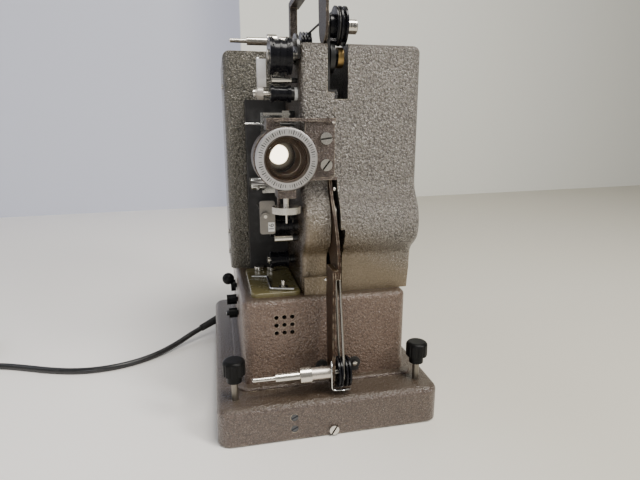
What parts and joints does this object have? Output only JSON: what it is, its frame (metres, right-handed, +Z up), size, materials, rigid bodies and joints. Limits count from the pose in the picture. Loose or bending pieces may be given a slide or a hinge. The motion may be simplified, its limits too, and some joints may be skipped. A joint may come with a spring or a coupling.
{
  "type": "film projector",
  "caption": "Compact silent film projector with a lens, threaded film path, folding belt-driven reel arms, lamphouse, motor housing, tray base and mains lead.",
  "frame": {"origin": "middle of the base tray's footprint, on the surface that the rubber feet stand on", "axes": "+Z up, +X towards the motor and drive side, +Y towards the rear; the lens looks along -Y"},
  "size_m": [0.5772, 0.2834, 0.389],
  "materials": {
    "hammertone_brown": "brown hammertone stove enamel with pale flecks, satin",
    "hammertone_olive": "olive-grey hammertone stove enamel, satin",
    "olive_enamel": "smooth olive enamel",
    "black_enamel": "semi-gloss black enamel",
    "bracket_enamel": "red-brown enamel, satin",
    "arm_enamel": "red-brown hammertone enamel, satin",
    "nickel_screws": "bright nickel",
    "nickel_parts": "bright nickel plate",
    "polished_chrome": "polished chrome",
    "steel_shafts": "turned steel",
    "steel_rods": "turned steel, bright",
    "steel_belt": "coiled spring steel",
    "satin_aluminium": "satin aluminium",
    "lens_aluminium": "satin anodised aluminium with a dark front face",
    "black_plastic": "polished black moulding",
    "black_rubber": "matt black rubber",
    "cord_rubber": "smooth black rubber sheath",
    "black_belt": "matt black belt",
    "optical_glass": "coated clear glass",
    "lamp_glass": "clear glass envelope",
    "motor_iron": "varnished iron",
    "resistor_ceramic": "unglazed ceramic with windings",
    "socket_ceramic": "white glazed ceramic"
  },
  "bodies": {
    "projector_body": {"base_tray": "hammertone_brown", "rubber_feet": "black_rubber", "screws": "nickel_screws", "plinth_casing": "hammertone_brown", "resistor_unit": "resistor_ceramic", "foot_plate": "olive_enamel", "nose_housing": "hammertone_brown", "mechanism_frame": "black_enamel", "motor_cover": "hammertone_brown", "motor_stator": "motor_iron", "motor_belt": "black_belt", "lamphouse_shell": "hammertone_olive", "lamp_socket": "socket_ceramic", "lamp_bulb": "lamp_glass", "condenser_lens": "optical_glass", "lamp_reflector": "polished_chrome", "gate_plate": "polished_chrome", "lens_bracket": "bracket_enamel", "upper_arm_bracket": "black_enamel", "feed_knob": "nickel_parts", "film_guides": "nickel_parts", "arm_rest_tabs": "black_plastic", "cord_gland": "black_rubber", "mains_cord": "cord_rubber", "cord_coil": "cord_rubber", "plug": "black_plastic"},
    "lens": {"lens_barrel": "lens_aluminium", "lens_glass": "optical_glass"},
    "lens_clamp": {"lens_clamp_knob": "nickel_parts"},
    "motor_rotor": {"motor_rotor": "motor_iron"},
    "shutter": {"shutter": "steel_shafts"},
    "timing_shaft": {"timing_shaft": "steel_shafts"},
    "upper_sprocket_shaft": {"upper_sprocket": "black_plastic", "upper_shaft": "steel_shafts"},
    "lower_sprocket_shaft": {"lower_sprocket": "black_plastic", "lower_shaft": "steel_shafts"},
    "feed_pulley": {"feed_pulley": "black_plastic"},
    "takeup_pulley": {"takeup_pulley": "black_plastic"},
    "upper_arm": {"upper_arm": "arm_enamel", "upper_belt": "black_belt"},
    "upper_spindle": {"upper_spindle": "nickel_parts", "upper_spindle_pulley": "black_plastic"},
    "lower_arm": {"lower_arm": "arm_enamel", "lower_belt": "steel_belt"},
    "lower_spindle": {"lower_spindle": "nickel_parts", "lower_spindle_pulley": "black_plastic"},
    "upper_keeper": {"upper_keeper": "polished_chrome"},
    "lower_keeper": {"lower_keeper": "satin_aluminium"},
    "upper_guide_roller": {"upper_guide_roller": "black_plastic"},
    "lower_guide_roller": {"lower_guide_roller": "black_plastic"},
    "exit_roller": {"exit_roller": "black_plastic"},
    "gate_lever": {"gate_lever": "polished_chrome"},
    "pressure_plate": {"pressure_plate": "polished_chrome"},
    "left_levelling_foot": {"left_levelling_rod": "steel_rods"},
    "left_levelling_knob": {"left_levelling_knob": "black_plastic"},
    "right_levelling_foot": {"right_levelling_rod": "steel_rods"},
    "right_levelling_knob": {"right_levelling_knob": "black_plastic"},
    "speed_lever": {"speed_lever": "black_plastic"},
    "lamp_switch": {"lamp_switch_knob": "black_plastic"},
    "motor_switch": {"motor_switch_knob": "black_plastic"}
  },
  "joints": [
    {"name": "motor_spin", "type": "hinge", "parent": "projector_body", "child": "motor_rotor", "pos_m": [0.051, 0, 0.205], "axis": [0, 1, 0], "continuous": true},
    {"name": "shutter_spin", "type": "hinge", "parent": "projector_body", "child": "shutter", "pos_m": [-0.0075, 0, 0.225], "axis": [0, 1, 0], "continuous": true},
    {"name": "timing_spin", "type": "hinge", "parent": "projector_body", "child": "timing_shaft", "pos_m": [-0.0075, -0.0657, 0.2], "axis": [0, 0, 1], "continuous": true},
    {"name": "upper_sprocket_spin", "type": "hinge", "parent": "projector_body", "child": "upper_sprocket_shaft", "pos_m": [0, -0.08, 0.3165], "axis": [1, 0, 0], "continuous": true},
    {"name": "lower_sprocket_spin", "type": "hinge", "parent": "projector_body", "child": "lower_sprocket_shaft", "pos_m": [0, -0.0514, 0.174], "axis": [1, 0, 0], "continuous": true},
    {"name": "feed_pulley_spin", "type": "hinge", "parent": "projector_body", "child": "feed_pulley", "pos_m": [0.013, -0.084, 0.34016], "axis": [1, 0, 0], "continuous": true},
    {"name": "takeup_pulley_spin", "type": "hinge", "parent": "projector_body", "child": "takeup_pulley", "pos_m": [0.01, -0.0935, 0.18679], "axis": [1, 0, 0], "continuous": true},
    {"name": "upper_arm_fold", "type": "hinge", "parent": "projector_body", "child": "upper_arm", "pos_m": [0.002, -0.084, 0.34016], "axis": [1, 0, 0], "range_deg": [0, 80]},
    {"name": "upper_spindle_spin", "type": "hinge", "parent": "upper_arm", "child": "upper_spindle", "pos_m": [0, 0.038, 0.347], "axis": [1, 0, 0], "continuous": true},
    {"name": "lower_arm_fold", "type": "hinge", "parent": "projector_body", "child": "lower_arm", "pos_m": [0.005, -0.0935, 0.18679], "axis": [-1, 0, 0], "range_deg": [0, 48]},
    {"name": "lower_spindle_spin", "type": "hinge", "parent": "lower_arm", "child": "lower_spindle", "pos_m": [0, -0.1235, 0.0525], "axis": [1, 0, 0], "continuous": true},
    {"name": "lens_focus", "type": "slide", "parent": "projector_body", "child": "lens", "axis": [0, -1, 0], "range_m": [0, 0.008]},
    {"name": "lens_clamp_turn", "type": "hinge", "parent": "projector_body", "child": "lens_clamp", "pos_m": [-0.0325, -0.1, 0.193], "axis": [0, 0, 1], "range_deg": [0, 270]},
    {"name": "upper_keeper_swing", "type": "hinge", "parent": "projector_body", "child": "upper_keeper", "pos_m": [-0.05, -0.08, 0.287], "axis": [1, 0, 0], "range_deg": [0, 60]},
    {"name": "lower_keeper_swing", "type": "hinge", "parent": "projector_body", "child": "lower_keeper", "pos_m": [-0.0485, -0.08, 0.1845], "axis": [0, -1, 0], "range_deg": [0, 70]},
    {"name": "upper_guide_roller_spin", "type": "hinge", "parent": "projector_body", "child": "upper_guide_roller", "pos_m": [-0.033, -0.08, 0.287], "axis": [1, 0, 0], "continuous": true},
    {"name": "lower_guide_roller_spin", "type": "hinge", "parent": "projector_body", "child": "lower_guide_roller", "pos_m": [-0.031, -0.0725, 0.174], "axis": [1, 0, 0], "continuous": true},
    {"name": "exit_roller_spin", "type": "hinge", "parent": "projector_body", "child": "exit_roller", "pos_m": [-0.033, -0.052, 0.137], "axis": [1, 0, 0], "continuous": true},
    {"name": "gate_lever_turn", "type": "hinge", "parent": "projector_body", "child": "gate_lever", "pos_m": [-0.045, -0.062, 0.263], "axis": [1, 0, 0], "range_deg": [0, 30]},
    {"name": "pressure_plate_open", "type": "slide", "parent": "projector_body", "child": "pressure_plate", "axis": [0, -1, 0], "range_m": [0, 0.003]},
    {"name": "speed_lever_turn", "type": "hinge", "parent": "projector_body", "child": "speed_lever", "pos_m": [-0.075, 0, 0.097], "axis": [1, 0, 0], "range_deg": [-40, 40]},
    {"name": "lamp_switch_turn", "type": "hinge", "parent": "projector_body", "child": "lamp_switch", "pos_m": [-0.075, -0.01, 0.085], "axis": [1, 0, 0], "range_deg": [0, 90]},
    {"name": "motor_switch_turn", "type": "hinge", "parent": "projector_body", "child": "motor_switch", "pos_m": [-0.075, -0.02, 0.074], "axis": [1, 0, 0], "range_deg": [0, 90]},
    {"name": "left_levelling_travel", "type": "slide", "parent": "projector_body", "child": "left_levelling_foot", "axis": [0, 0, -1], "range_m": [-0.008, 0]},
    {"name": "right_levelling_travel", "type": "slide", "parent": "projector_body", "child": "right_levelling_foot", "axis": [0, 0, -1], "range_m": [-0.008, 0]},
    {"name": "left_levelling_turn", "type": "hinge", "parent": "left_levelling_foot", "child": "left_levelling_knob", "pos_m": [-0.082, -0.118, 0.06], "axis": [0, 0, 1], "range_deg": [0, 2880]},
    {"name": "right_levelling_turn", "type": "hinge", "parent": "right_levelling_foot", "child": "right_levelling_knob", "pos_m": [0.082, -0.118, 0.06], "axis": [0, 0, 1], "range_deg": [0, 2880]}
  ],
  "couplings": [
    {"joint": "shutter_spin", "follows": "motor_spin", "ratio": 0.5},
    {"joint": "timing_spin", "follows": "motor_spin", "ratio": 0.325},
    {"joint": "upper_sprocket_spin", "follows": "motor_spin", "ratio": 0.027083},
    {"joint": "lower_sprocket_spin", "follows": "motor_spin", "ratio": 0.027083},
    {"joint": "feed_pulley_spin", "follows": "motor_spin", "ratio": -0.037917},
    {"joint": "takeup_pulley_spin", "follows": "motor_spin", "ratio": -0.072222},
    {"joint": "upper_spindle_spin", "follows": "motor_spin", "ratio": -0.055226},
    {"joint": "lower_spindle_spin", "follows": "motor_spin", "ratio": -0.054607},
    {"joint": "left_levelling_turn", "follows": "left_levelling_travel", "rad_per_m": -6283.2},
    {"joint": "right_levelling_turn", "follows": "right_levelling_travel", "rad_per_m": -6283.2},
    {"joint": "gate_lever_turn", "follows": "pressure_plate_open", "rad_per_m": 174.53}
  ]
}
